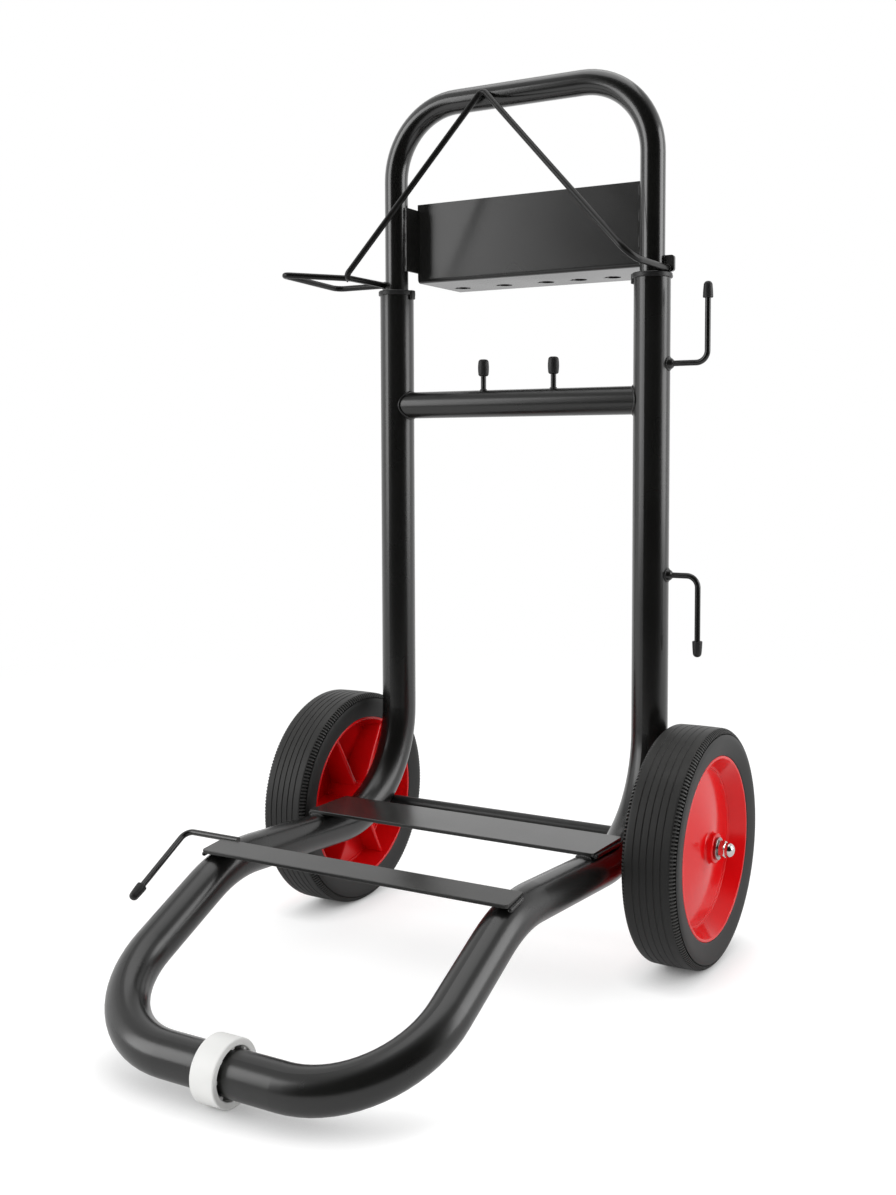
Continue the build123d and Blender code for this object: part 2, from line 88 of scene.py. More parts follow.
def window(x, low, high):
    """1 between low and high and 0 outside, with a smooth step of width 1 inside each end."""
    return smooth(x, low, low + 1) * (1 - smooth(x, high - 1, high))


def grid_quads(rows, cols, wrap_rows=False, wrap_cols=False):
    """Corner numbers of the quads of a rows by cols grid, joined round where a wrap is asked for."""
    i = np.arange(rows if wrap_rows else rows - 1)
    j = np.arange(cols if wrap_cols else cols - 1)
    i, j = np.meshgrid(i, j, indexing="ij")
    ni, nj = (i + 1) % rows, (j + 1) % cols
    return np.stack([i * cols + j, ni * cols + j, ni * cols + nj, i * cols + nj], -1).reshape(-1, 4)


def shell(points, wrap_rows=False, wrap_cols=False):
    """A grid of points as (vertices, faces)."""
    rows, cols = points.shape[:2]
    return points.reshape(-1, 3), grid_quads(rows, cols, wrap_rows, wrap_cols).tolist()


def many(blocks):
    """Equal blocks, an array of (count, rows, cols, 3): each is a sleeve, closed round its columns, with a
    flat face on its first and its last row."""
    count, rows, cols = blocks.shape[:3]
    quads = grid_quads(rows, cols, wrap_cols=True)
    ends = np.stack([np.arange(cols), np.arange((rows - 1) * cols, rows * cols)[::-1]])
    base = (np.arange(count) * rows * cols)[:, None, None]
    faces = (quads[None] + base).reshape(-1, 4).tolist() + (ends[None] + base).reshape(-1, cols).tolist()
    return blocks.reshape(-1, 3), faces


def capped(points):
    """One such block, from its grid of points."""
    return many(points[None])


def piece(name, shells, material, body, replaced=(), crease=40.0):
    """One object from closed shells: doubles merged, faces outward, smooth up to the crease angle."""
    verts, faces, base = [], [], 0
    for points, quads in shells:
        verts.append(points)
        faces += [[base + k for k in quad] for quad in quads]
        base += len(points)
    mesh = bpy.data.meshes.new(name)
    mesh.from_pydata(np.concatenate(verts).tolist(), [], faces)
    work = bmesh.new()
    work.from_mesh(mesh)
    bmesh.ops.remove_doubles(work, verts=work.verts, dist=DOUBLE)
    bmesh.ops.recalc_face_normals(work, faces=work.faces)
    work.to_mesh(mesh)
    work.free()
    mesh.shade_smooth()
    mesh.set_sharp_from_angle(angle=math.radians(crease))
    mesh.materials.append(material)
    made = bpy.data.objects.new(name, mesh)
    scene.collection.objects.link(made)
    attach(made, body)
    if replaced:
        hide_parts(*replaced)


def rounded(corners, steps=6, guard=0.08):
    """Closed outline with each corner (a, b, radius) swapped for a tangent arc of that radius, and a point
    just past each end of the arc so that the flats shade flat. A nearly straight corner stays."""
    c = np.array(corners, float)
    out = []
    for k in range(len(c)):
        p, r = c[k, :2], c[k, 2]
        to_last = c[k - 1, :2] - p
        to_next = c[(k + 1) % len(c), :2] - p
        a, b = to_last / np.linalg.norm(to_last), to_next / np.linalg.norm(to_next)
        half = math.acos(np.clip(a @ b, -1, 1)) / 2
        if r <= 0 or half > STRAIGHT:
            out.append(p[None])
            continue
        reach = r / math.tan(half)
        middle = p + (a + b) / np.linalg.norm(a + b) * r / math.sin(half)
        start, end = p + a * reach - middle, p + b * reach - middle
        sweep = math.atan2(start[0] * end[1] - start[1] * end[0], start @ end)
        turn = np.linspace(0, sweep, steps)
        ca, sa = np.cos(turn), np.sin(turn)
        arc = middle + np.stack([start[0] * ca - start[1] * sa, start[0] * sa + start[1] * ca], -1)
        out += [(p + a * (reach + guard))[None], arc, (p + b * (reach + guard))[None]]
    return np.concatenate(out)


def turned(profile, centre, axis, turns):
    """Profile of (distance along the axis, radius) turned round an axis through the centre:
    point = centre + along * axis + radius * (cos(a) * side + sin(a) * up)."""
    axis = np.array(axis, float) / np.linalg.norm(axis)
    side = np.cross(axis, (0, 0, 1) if abs(axis[2]) < STEEP else (0, 1, 0))
    side /= np.linalg.norm(side)
    up = np.cross(axis, side)
    a = np.linspace(0, 2 * np.pi, turns, endpoint=False)
    spoke = np.cos(a)[:, None] * side + np.sin(a)[:, None] * up
    return np.array(centre) + profile[:, None, :1] * axis + profile[:, None, 1:] * spoke[None]


def turned_ring(profile, centre, axis, turns):
    """A closed outline turned round an axis, as a closed shell."""
    return shell(turned(profile, centre, axis, turns), wrap_rows=True, wrap_cols=True)


# Finishes: effects shared by several materials are groups

PATCH_SPREAD = (0.32, 0.68)
DUST_FACING = (0.2, 1.0)
DUST_COLOUR = (0.35, 0.34, 0.32, 1)


def add_node(tree, kind, inputs=None, **settings):
    """One shader node, its settings made and its inputs given a value or a link."""
    made = tree.nodes.new(kind)
    for name, value in settings.items():
        setattr(made, name, value)
    for socket, value in (inputs or {}).items():
        if isinstance(value, bpy.types.NodeSocket):
            tree.links.new(value, made.inputs[socket])
        else:
            made.inputs[socket].default_value = value
    return made


def calc(tree, operation, first, second):
    """Result of one operation on two values or links."""
    return add_node(tree, "ShaderNodeMath", {0: first, 1: second}, operation=operation).outputs[0]


def dot(tree, first, second):
    """Dot product of two vectors or links."""
    return add_node(
        tree, "ShaderNodeVectorMath", {0: first, 1: second}, operation="DOT_PRODUCT"
    ).outputs["Value"]


def ramp(tree, value, start, end, low=0.0, high=1.0, soft=False):
    """Low up to the start, high from the end on, and a straight or a soft step between them."""
    return add_node(
        tree, "ShaderNodeMapRange",
        {"Value": value, "From Min": start, "From Max": end, "To Min": low, "To Max": high},
        interpolation_type="SMOOTHSTEP" if soft else "LINEAR",
    ).outputs["Result"]


def blend(tree, share, first, second):
    """Colour between two colours, each a value or a link."""
    return add_node(
        tree, "ShaderNodeMix", {"Factor": share, "A": first, "B": second}, data_type="RGBA"
    ).outputs["Result"]


def noise(tree, place, scale, detail):
    """Noise from 0 to 1."""
    return add_node(
        tree, "ShaderNodeTexNoise", {"Vector": place, "Scale": scale, "Detail": detail}
    ).outputs["Fac"]


def new_group(name, inputs, outputs):
    """An empty shader group with float sockets; returns its tree, its input node and its output node."""
    tree = bpy.data.node_groups.new(name, "ShaderNodeTree")
    for label, value in inputs:
        tree.interface.new_socket(label, in_out="INPUT", socket_type="NodeSocketFloat").default_value = value
    for label in outputs:
        tree.interface.new_socket(label, in_out="OUTPUT", socket_type="NodeSocketFloat")
    return tree, tree.nodes.new("NodeGroupInput"), tree.nodes.new("NodeGroupOutput")


def grain_group():
    """Grain: fine noise for the skin of a surface. Patch: broad noise for uneven gloss and colour."""
    tree, given, result = new_group(
        "surface_grain", [("Grain Scale", 900.0), ("Patch Scale", 9.0)], ["Grain", "Patch"]
    )
    place = add_node(tree, "ShaderNodeTexCoord").outputs["Object"]
    fine = noise(tree, place, given.outputs["Grain Scale"], 2.0)
    broad = noise(tree, place, given.outputs["Patch Scale"], 4.0)
    tree.links.new(fine, result.inputs["Grain"])
    tree.links.new(ramp(tree, broad, *PATCH_SPREAD), result.inputs["Patch"])
    return tree


def dust_group():
    """Dust: a broken film on faces that look up, from the surface normal and a noise."""
    tree, given, result = new_group("settled_dust", [("Amount", 0.3), ("Scale", 60.0)], ["Dust"])
    place = add_node(tree, "ShaderNodeTexCoord").outputs["Object"]
    normal = add_node(tree, "ShaderNodeNewGeometry").outputs["Normal"]
    height = add_node(tree, "ShaderNodeSeparateXYZ", {"Vector": normal}).outputs["Z"]
    facing = ramp(tree, height, *DUST_FACING)
    film = calc(tree, "MULTIPLY", facing, noise(tree, place, given.outputs["Scale"], 6.0))
    tree.links.new(calc(tree, "MULTIPLY", film, given.outputs["Amount"]), result.inputs["Dust"])
    return tree


GRAIN = grain_group()
DUST = dust_group()


def finish_material(
    name, dark, light, rough, grain=900.0, patch=9.0, bump=0.05, depth=0.2 * MM, dust=0.0, **constants
):
    """A finish whose colour and roughness drift between two values, with a grain in its normal."""
    made = bpy.data.materials.new(name)
    made.use_nodes = True
    tree = made.node_tree
    shader = tree.nodes["Principled BSDF"]
    skin = add_node(
        tree, "ShaderNodeGroup", {"Grain Scale": grain, "Patch Scale": patch}, node_tree=GRAIN
    ).outputs
    colour = blend(tree, skin["Patch"], (*dark, 1), (*light, 1))
    if dust > 0:
        film = add_node(tree, "ShaderNodeGroup", {"Amount": dust}, node_tree=DUST).outputs["Dust"]
        colour = blend(tree, film, colour, DUST_COLOUR)
    relief = add_node(tree, "ShaderNodeBump", {"Height": skin["Grain"], "Strength": bump, "Distance": depth})
    tree.links.new(colour, shader.inputs["Base Color"])
    tree.links.new(ramp(tree, skin["Patch"], 0.0, 1.0, *rough), shader.inputs["Roughness"])
    tree.links.new(relief.outputs["Normal"], shader.inputs["Normal"])
    for socket, value in constants.items():
        shader.inputs[socket.replace("_", " ")].default_value = value
    return made


frame_coat = finish_material(
    "frame_coat", (0.0042, 0.0042, 0.0039), (0.0065, 0.0065, 0.006), (0.24, 0.31), grain=1400, bump=0.1,
    Coat_Weight=0.3, Coat_Roughness=0.2,
)
handle_coat = finish_material(
    "handle_coat", (0.0038, 0.0038, 0.0035), (0.006, 0.006, 0.0055), (0.2, 0.27), grain=1400, bump=0.08,
    Coat_Weight=0.6, Coat_Roughness=0.12,
)
wire_coat = finish_material(
    "wire_coat", (0.004, 0.004, 0.0037), (0.0062, 0.0062, 0.0057), (0.3, 0.38), grain=1400, bump=0.1,
    Specular_IOR_Level=0.32,
)
panel_coat = finish_material(
    "panel_coat", (0.011, 0.011, 0.0105), (0.015, 0.015, 0.0145), (0.22, 0.29), grain=1600, bump=0.08
)
strap_coat = finish_material(
    "strap_coat", (0.013, 0.013, 0.0125), (0.019, 0.019, 0.018), (0.21, 0.29), grain=1600, bump=0.1, dust=0.06
)
axle_coat = finish_material("axle_coat", (0.006, 0.006, 0.006), (0.01, 0.01, 0.0095), (0.3, 0.4))
spacer_skin = finish_material("spacer_skin", (0.012, 0.012, 0.012), (0.018, 0.018, 0.018), (0.45, 0.55))
nut_plate = finish_material(
    "nut_plate", (0.6, 0.59, 0.58), (0.7, 0.69, 0.68), (0.08, 0.16), grain=600, patch=60, bump=0.02,
    Metallic=1.0,
)
washer_zinc = finish_material(
    "washer_zinc", (0.34, 0.33, 0.32), (0.42, 0.41, 0.4), (0.2, 0.3), grain=900, patch=90, bump=0.05,
    Metallic=1.0,
)
rim_skin = finish_material(
    "rim_skin", (0.69, 0.004, 0.006), (0.75, 0.006, 0.008), (0.15, 0.21), grain=700, patch=14, bump=0.02,
    Specular_IOR_Level=0.4,
)
tyre_skin = finish_material(
    "tyre_skin", (0.008, 0.008, 0.0076), (0.0125, 0.0125, 0.012), (0.46, 0.58), grain=1100, bump=0.2,
    dust=0.08, Specular_IOR_Level=0.38,
)
# Teeth: the tyre's rubber made several times lighter, a painted sheen where the shoulder band catches the
# light
painted_sheen_tooth_rubber = finish_material(
    "painted_sheen_tooth_rubber", (0.032, 0.032, 0.031), (0.045, 0.045, 0.0435), (0.42, 0.54), grain=1100, bump=0.2,
    dust=0.08, Specular_IOR_Level=0.38,
)
cap_skin = finish_material(
    "cap_skin", (0.006, 0.006, 0.006), (0.01, 0.01, 0.0095), (0.45, 0.57), grain=1500, patch=40, bump=0.25
)
collar_skin = finish_material(
    "collar_skin", (0.008, 0.008, 0.008), (0.012, 0.012, 0.012), (0.36, 0.46), grain=1500, patch=30, bump=0.15
)
glide_skin = finish_material("glide_skin", (0.015, 0.015, 0.015), (0.022, 0.022, 0.022), (0.45, 0.55))
ring_skin = finish_material(
    "ring_skin", (0.74, 0.74, 0.725), (0.79, 0.79, 0.775), (0.4, 0.5), grain=1200, patch=30, bump=0.08
)

FINISHES = {
    "frame_paint": frame_coat,
    "handle_paint": handle_coat,
    "panel_paint": panel_coat,
    "strap_paint": strap_coat,
    "axle_paint": axle_coat,
    "spacer_plastic": spacer_skin,
    "nut_chrome": nut_plate,
    "washer_steel": washer_zinc,
    "rim_red": rim_skin,
    "tyre_rubber": tyre_skin,
    "cap_rubber": cap_skin,
    "collar_plastic": collar_skin,
    "glide_plastic": glide_skin,
    "ring_plastic": ring_skin,
}
WIRES = ("hose_hanger", "gun_loop")
for entry in frame["record"]["subparts"]:
    for holder in nodes[entry["node"]].material_slots:
        holder.material = wire_coat if entry["node"] in WIRES else FINISHES[entry["material_slot"]]


# Wheels: sizes in millimetres, along the axle from the middle of the wheel, and out from the axle's centre

CROWN = 0.25
TREAD_HALF, TREAD_R = 17.5, WHEEL_R / MM - CROWN
TYRE_HALF, SHOULDER_R = 24.0, 92.0
GROOVES = np.array([-12.0, -6.0, 0.0, 6.0, 12.0])
GROOVE_DEPTH, GROOVE_HALF, GROOVE_FLANK = 0.55, 0.9, (0.15, 0.8)
LIP_HALF, LIP_R = 21.5, 78.0
SEAT_HALF, SEAT_R = 18.5, 76.0
WALL_TOP_R, WALL_FOOT_R, WALL_LEAN = 91.5, 78.6, 2.5
WALL_END = (21.2, 78.05)

# Bands of the shoulder, in degrees round its ellipse, and their depths; a tooth's foot, top, top and foot
# round the wheel, in shares of the pitch
BAND, BAND_DEPTH = (36.0, 74.0), 1.6
GAP, GAP_DEPTH = (25.0, 36.5), 2.9
TEETH, TOOTH_ROWS, TOOTH_FOOT = 200, 8, 2.1
TOOTH_WIDTH = np.array([-0.25, -0.19, 0.19, 0.25])

# Ribs behind the disc: radius, end on the disc and free edge, each at the hub and at the lip
RIBS, RIB_ROWS, RIB_HALF = 6, 12, 2.0
RIB_R, RIB_DISC, RIB_FREE = (13.0, 75.7), (14.0, 5.0), (-17.0, -15.5)

# Axle ends, along from the middle of the cart
WASHER_IN, WASHER_OUT, WASHER_R = 203.3, 205.3, 9.5
STUD_R = 4.05
NUT_FLAT, NUT_HEX, NUT_NECK, NUT_DOME, NUT_LENGTH = 6.5, 6.0, 6.0, 8.2, 13.0
NUT_BORE, NUT_CHAMFER_R, NUT_CHAMFER_SLOPE = 10.5, 6.1, 1.3
NUT_TURNS = 96


def shoulder(angle, sunk):
    """Points (along, radius) on the shoulder's quarter ellipse, both its half axes less by the sunk depth."""
    return (
        TREAD_HALF + (TYRE_HALF - TREAD_HALF - sunk) * np.cos(angle),
        SHOULDER_R + (TREAD_R - SHOULDER_R - sunk) * np.sin(angle),
    )


def tyre_section():
    """Outline of the tyre, (along, radius): flat tread with shallow grooves, round shoulders with a sunk
    band for the teeth and a narrow gap below it, slightly conical side walls that draw in by the share
    of their height to the power of 1.5, and the seat on the rim."""
    flats = np.linspace(-TREAD_HALF, TREAD_HALF, 36)
    cuts = GROOVES[:, None] + np.linspace(-GROOVE_HALF, GROOVE_HALF, 19)
    t = np.unique(np.concatenate([flats, cuts.ravel()]).round(4))
    near = np.abs(t[:, None] - GROOVES).min(1)
    tread = TREAD_R + CROWN - CROWN * (t / TREAD_HALF) ** 2 - GROOVE_DEPTH * (1 - smooth(near, *GROOVE_FLANK))
    low_edges = np.arange(GAP[0] - 1, BAND[0] + 2, 0.5)
    high_edge = np.arange(BAND[1] - 2, BAND[1] + 2, 0.5)
    turn = np.unique(np.concatenate([np.arange(0, 89, 2), low_edges, high_edge]))[::-1]
    sunk = BAND_DEPTH * window(turn, *BAND) + GAP_DEPTH * window(turn, *GAP)
    arc = np.stack(shoulder(np.radians(turn), sunk), -1)
    wall_r = np.linspace(WALL_TOP_R, WALL_FOOT_R, 14)
    share = (SHOULDER_R - wall_r) / (SHOULDER_R - LIP_R)
    wall = np.stack([TYRE_HALF - WALL_LEAN * share**1.5, wall_r], -1)
    right = np.concatenate([arc, wall, [WALL_END, (SEAT_HALF, LIP_R), (SEAT_HALF, SEAT_R)]])
    left = right[::-1] * (-1, 1)
    return np.concatenate([left, np.stack([t, tread], -1), right]) * MM


def tyre_teeth(centre, sign):
    """Small teeth across the sunk shoulder bands and into the gap below: each is a block between two angles
    round the wheel, its top on the shoulder's ellipse and its foot in the band."""
    a = np.radians(np.linspace(sum(GAP) / 2, BAND[1] - 0.5, TOOTH_ROWS))[:, None]
    along, radius = shoulder(a, np.array([TOOTH_FOOT, 0.0, 0.0, TOOTH_FOOT]))
    angle = 2 * np.pi / TEETH * (np.arange(TEETH)[:, None, None] + TOOTH_WIDTH)
    y, z = radius * np.cos(angle), radius * np.sin(angle)
    shells = []
    for hand in (-1.0, 1.0):
        x = np.broadcast_to(along * hand * sign, y.shape)
        shells.append(many(np.array(centre) + np.stack([x, y, z], -1) * MM))
    return shells


def rim_section():
    """Outline of the rim, (along, radius), with rounded corners: hub, crowned disc, a small ridge where the
    disc meets the wall, wall and lips."""
    hub = [(16.0, 12.7, 2.2), (22.0, 12.7, 1.2), (22.0, 6.05, 0.4), (-22.0, 6.05, 0.4), (-22.0, 15.0, 1.0)]
    disc_back = [(12.0, 15.0, 1.5), (3.3, 68.6, 0.2), (2.2, 69.0, 0.4), (2.0, 70.7, 0.3)]
    inner_lip = [(-LIP_HALF, 75.6, 0.8), (-LIP_HALF, LIP_R, 0.8), (-SEAT_HALF, LIP_R, 0.3)]
    seat = [(-SEAT_HALF, SEAT_R, 0.3), (SEAT_HALF, SEAT_R, 0.3)]
    outer_lip = [(SEAT_HALF, LIP_R, 0.3), (LIP_HALF, LIP_R, 1.15), (LIP_HALF, 75.6, 1.15)]
    ridge = [(8.2, 68.2, 0.3), (8.2, 66.5, 0.4), (7.3, 65.9, 0.2)]
    return rounded(hub + disc_back + inner_lip + seat + outer_lip + ridge, steps=7) * MM


def rim_ribs(centre, sign):
    """Ribs behind the disc, in even steps: a round-edged slab whose free edge runs from the hub to the lip,
    carried along the radius, then turned to each place."""
    radius = np.linspace(*RIB_R, RIB_ROWS)[:, None]
    disc = np.linspace(*RIB_DISC, RIB_ROWS)[:, None]
    free = np.linspace(*RIB_FREE, RIB_ROWS)[:, None]
    turn = np.linspace(0, np.pi, 9)
    along = np.concatenate([disc, free + RIB_HALF - RIB_HALF * np.sin(turn), disc], 1) * sign
    across = np.concatenate([[-RIB_HALF], -RIB_HALF * np.cos(turn), [RIB_HALF]])
    a = 2 * np.pi / RIBS * (np.arange(RIBS) + 0.5)[:, None, None]
    y = radius * np.sin(a) + across * np.cos(a)
    z = radius * np.cos(a) - across * np.sin(a)
    x = np.broadcast_to(along, y.shape)
    return many(np.array(centre) + np.stack([x, y, z], -1) * MM)


def nut_surface(start, sign):
    """Cap nut: the radius is the least of a hexagon's and two chamfer cones' up to the neck,
    then a straight neck and a quarter ellipse, over a blind bore. The rows lie close at the chamfers."""
    a = np.linspace(0, 2 * np.pi, NUT_TURNS, endpoint=False)
    hexagon = NUT_FLAT / np.cos((a + np.pi / 6) % (np.pi / 3) - np.pi / 6)
    first_chamfer, last_chamfer = np.linspace(0, 1.1, 6), np.linspace(5.0, NUT_HEX, 6)
    x = np.concatenate([[0.0], first_chamfer, np.linspace(1.2, 4.9, 4), last_chamfer])
    cone = NUT_CHAMFER_R + NUT_CHAMFER_SLOPE * np.minimum(x, NUT_HEX - x)
    body = np.minimum(hexagon[None], cone[:, None])
    body[0] = STUD_R
    rise = np.linspace(0, np.pi / 2, 12)
    dome_x = np.concatenate([[NUT_HEX + 0.05, NUT_DOME], NUT_DOME + (NUT_LENGTH - NUT_DOME) * np.sin(rise)])
    dome_r = np.concatenate([[NUT_NECK, NUT_NECK], NUT_NECK * np.cos(rise)])
    bore_r = np.repeat([[0.0], [STUD_R]], NUT_TURNS, 1)
    radius = np.concatenate([bore_r, body, np.repeat(dome_r[:, None], NUT_TURNS, 1)])
    along = np.concatenate([[NUT_BORE, NUT_BORE], x, dome_x])[:, None]
    along = np.broadcast_to((start + along) * sign, radius.shape)
    points = np.stack([along, radius * np.cos(a), radius * np.sin(a)], -1) * MM
    return shell(points + np.array([0, AXLE_Y, AXLE_Z]), wrap_cols=True)


washer_section = rounded([
    (WASHER_IN, STUD_R, 0.2), (WASHER_OUT, STUD_R, 0.2),
    (WASHER_OUT, WASHER_R, 0.5), (WASHER_IN, WASHER_R, 0.5),
]) * MM
for side, sign in SIDES:
    centre = (sign * WHEEL_X, AXLE_Y, AXLE_Z)
    axis = (sign, 0, 0)
    piece(
        f"grooved_tyre_{side}",
        [turned_ring(tyre_section(), centre, axis, turns=240)],
        tyre_skin, f"wheel_{side}", [f"tyre_{side}"],
    )
    piece(f"shoulder_teeth_{side}", tyre_teeth(centre, sign), painted_sheen_tooth_rubber, f"wheel_{side}")
    piece(
        f"dished_rim_{side}",
        [turned_ring(rim_section(), centre, axis, turns=192), rim_ribs(centre, sign)],
        rim_skin, f"wheel_{side}", [f"rim_{side}"],
    )
    piece(
        f"plain_washer_{side}",
        [turned_ring(washer_section, (0, AXLE_Y, AXLE_Z), axis, turns=96)],
        washer_zinc, "frame", [f"wheel_washer_{side}"],
    )
    piece(
        f"cap_nut_{side}", [nut_surface(WASHER_OUT, sign)],
        nut_plate, "frame", [f"axle_nut_{side}"], crease=25,
    )


# Foot ring: sizes in millimetres

RING_R, RING_BORE, RING_HALF = 23.0, 18.0, 10.0
NUBS, NUB_ENDS = 8, ((-8.5, -6.0), (6.0, 8.5))
NUB_ROOT, NUB_EDGE, NUB_TIP = 18.6, 16.5, 16.15
NUB_HALF, NUB_TIP_HALF = 1.5, 1.1


def foot_ring_shells():
    """A round-edged band round the front bar, with small blocks standing into its bore at both ends."""
    low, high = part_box("foot_ring")
    centre = (low + high) / 2
    band = rounded([
        (-RING_HALF, RING_BORE, 0.8), (RING_HALF, RING_BORE, 0.8),
        (RING_HALF, RING_R, 1.1), (-RING_HALF, RING_R, 1.1),
    ], steps=8) * MM
    shells = [turned_ring(band, centre, (1, 0, 0), turns=128)]
    a = 2 * np.pi / NUBS * np.arange(NUBS)[:, None, None]
    radius = np.array([NUB_ROOT, NUB_EDGE, NUB_TIP, NUB_TIP, NUB_EDGE, NUB_ROOT])
    across = np.array([-NUB_HALF, -NUB_HALF, -NUB_TIP_HALF, NUB_TIP_HALF, NUB_HALF, NUB_HALF])
    y = radius * np.cos(a) - across * np.sin(a)
    z = radius * np.sin(a) + across * np.cos(a)
    for ends in NUB_ENDS:
        x = np.array(ends)[:, None]
        shells.append(many(np.array(centre) + np.stack(np.broadcast_arrays(x, y, z), -1) * MM))
    return shells


piece("moulded_foot_ring", foot_ring_shells(), ring_skin, "frame", ["foot_ring"])


# Rubber end caps: sizes in millimetres

PEG_CAP = dict(mouth_r=4.8, tip_r=4.8, length=15.6, cover=13.0, mouth_round=2.2, tip_round=2.6, belly=0.35)
HOOK_CAP = dict(mouth_r=4.4, tip_r=3.8, length=14.0, cover=11.5, mouth_round=0.6, tip_round=3.5, belly=0.1)
LANCE_FALL = math.radians(31.5)


def cap_shell(tip, axis, mouth_r, tip_r, length, cover, mouth_round, tip_round, belly):
    """Cap turned round its rod: a rounded mouth, a side that runs from the mouth's radius to the tip's
    with a belly of half a sine wave, and a round tip, over a bore for the rod."""
    x = np.linspace(mouth_round - cover, length - cover - tip_round, 14)
    share = (x - x[0]) / (x[-1] - x[0])
    side = np.stack([x, mouth_r + (tip_r - mouth_r) * share + belly * np.sin(np.pi * share)], -1)
    a = np.linspace(0, np.pi / 2, 10)
    mouth = np.stack([mouth_round * (1 - np.cos(a)) - cover, mouth_r - mouth_round * (1 - np.sin(a))], -1)
    end = np.stack([x[-1] + tip_round * np.sin(a), tip_r - tip_round * (1 - np.cos(a))], -1)
    bore = [[0.0, 0.0], [0.0, ROD_R / MM], [-cover, ROD_R / MM]]
    profile = np.concatenate([bore, mouth, side[1:-1], end, [[length - cover, 0.0]]])
    return shell(turned(profile * MM, tip, axis, turns=48), wrap_cols=True)


def rubber_cap(name, tip, axis, sizes, replaced):
    """One rubber cap on the end of a rod, over the node that it replaces."""
    piece(name, [cap_shell(tip, axis, **sizes)], cap_skin, "frame", [replaced])


for side, _ in SIDES:
    low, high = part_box(f"bar_peg_{side}")
    tip = ((low.x + high.x) / 2, UPRIGHT_Y, high.z)
    rubber_cap(f"rubber_peg_cap_{side}", tip, (0, 0, 1), PEG_CAP, f"bar_peg_cap_{side}")
for level, way in LEVELS:
    low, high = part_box(f"cord_hook_{level}")
    tip = (high.x - ROD_R, UPRIGHT_Y, high.z if way > 0 else low.z)
    rubber_cap(f"rubber_hook_cap_{level}", tip, (0, 0, way), HOOK_CAP, f"cord_hook_cap_{level}")
lance_tip = (
    lance_low.x + ROD_R,
    lance_low.y + ROD_R * math.sin(LANCE_FALL),
    lance_low.z + ROD_R * math.cos(LANCE_FALL),
)
lance_axis = (0, -math.cos(LANCE_FALL), -math.sin(LANCE_FALL))
rubber_cap("rubber_lance_cap", lance_tip, lance_axis, HOOK_CAP, "lance_hook_cap")


# Straps that carry the pump: sizes in metres, angles in radians

STRAP_T = 3.0 * MM
STRAP_END = 140.5 * MM
STRAP_EDGE, STRAP_CORNER, STRAP_GUARD = 0.5 * MM, 2.5 * MM, 0.1 * MM
STRAP_CORNER_TURN = 1.4
STRAP_TILT = {"rear_strap": 0.0, "front_strap": math.radians(6.5)}


def strap_place(node):
    """Middle of a strap's top face, half its width, and its ways back and up, from the node's box."""
    low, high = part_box(node)
    tilt = STRAP_TILT[node]
    back = np.array([0, math.cos(tilt), math.sin(tilt)])
    up = np.array([0, -math.sin(tilt), math.cos(tilt)])
    half = (high.y - low.y - STRAP_T * math.sin(tilt)) / math.cos(tilt) / 2
    return np.array([0, high.y - STRAP_T * math.sin(tilt), high.z]) - half * back, half, back, up


def strap_shell(node):
    """Flat strap: a thin round-edged section carried across the cart, its half width drawn in at both ends
    by a corner's arc, which stops just short of a quarter turn."""
    middle, half, back, up = strap_place(node)
    steps, straight = 12, STRAP_END - STRAP_CORNER
    into = STRAP_CORNER * np.sin(np.linspace(0, STRAP_CORNER_TURN, steps))
    reach = np.concatenate([np.linspace(0, straight - STRAP_GUARD, steps), straight + into])
    inset = np.concatenate([np.zeros(steps), STRAP_CORNER - np.sqrt(STRAP_CORNER**2 - into**2)])
    x = np.concatenate([-reach[:0:-1], reach])[:, None]
    half = half - np.concatenate([inset[:0:-1], inset])[:, None]
    a = np.linspace(0, np.pi / 2, 5)
    round_s = np.concatenate([[STRAP_EDGE], STRAP_EDGE * np.cos(a), [-STRAP_GUARD]])
    round_n = np.concatenate([[-STRAP_GUARD], STRAP_EDGE * np.sin(a), [STRAP_EDGE]])
    out_s = np.repeat([1, -1, -1, 1], len(round_s))
    out_n = np.repeat([1, 1, -1, -1], len(round_n))
    across = out_s * (half - STRAP_EDGE) + np.concatenate([round_s, -round_n, -round_s, round_n])
    above = out_n * (STRAP_T / 2 - STRAP_EDGE) + np.concatenate([round_n, round_s, -round_n, -round_s])
    above = above - STRAP_T / 2
    return capped(
        middle + x[..., None] * np.array([1, 0, 0]) + across[..., None] * back + above[None, :, None] * up
    )


for node in STRAP_TILT:
    piece(f"flat_{node}", [strap_shell(node)], strap_coat, "frame", [node])


# Collars in the tops of the uprights: sizes in millimetres, the lug's from the upright's axis

COLLAR_BORE, COLLAR_SLEEVE, COLLAR_FLANGE = 11.3, 14.45, 17.5
LUG_FAR, LUG_NEAR, LUG_HALF, LUG_HEIGHT, LUG_ROUND = 19.0, 16.1, 3.0, 8.5, 0.7


def round_block(low, high, r):
    """Box with rounded edges: a round-cornered outline that is drawn in by a quarter circle at its foot
    and at its top."""
    low, high = np.array(low), np.array(high)
    turns = 24
    a = np.linspace(0, np.pi / 2, 5)
    z = np.concatenate([low[2] + r * (1 - np.cos(a)), high[2] - r * (1 - np.cos(a[::-1]))])
    grow = np.concatenate([np.sin(a), np.sin(a[::-1])])[:, None, None] * r
    b = np.linspace(0, 2 * np.pi, turns, endpoint=False) + np.pi / turns
    way = np.stack([np.cos(b), np.sin(b)], -1)
    flat = (low[:2] + high[:2]) / 2 + np.sign(way) * ((high[:2] - low[:2]) / 2 - r) + grow * way
    return capped(np.concatenate([flat, np.broadcast_to(z[:, None, None], flat.shape[:2] + (1,))], -1))


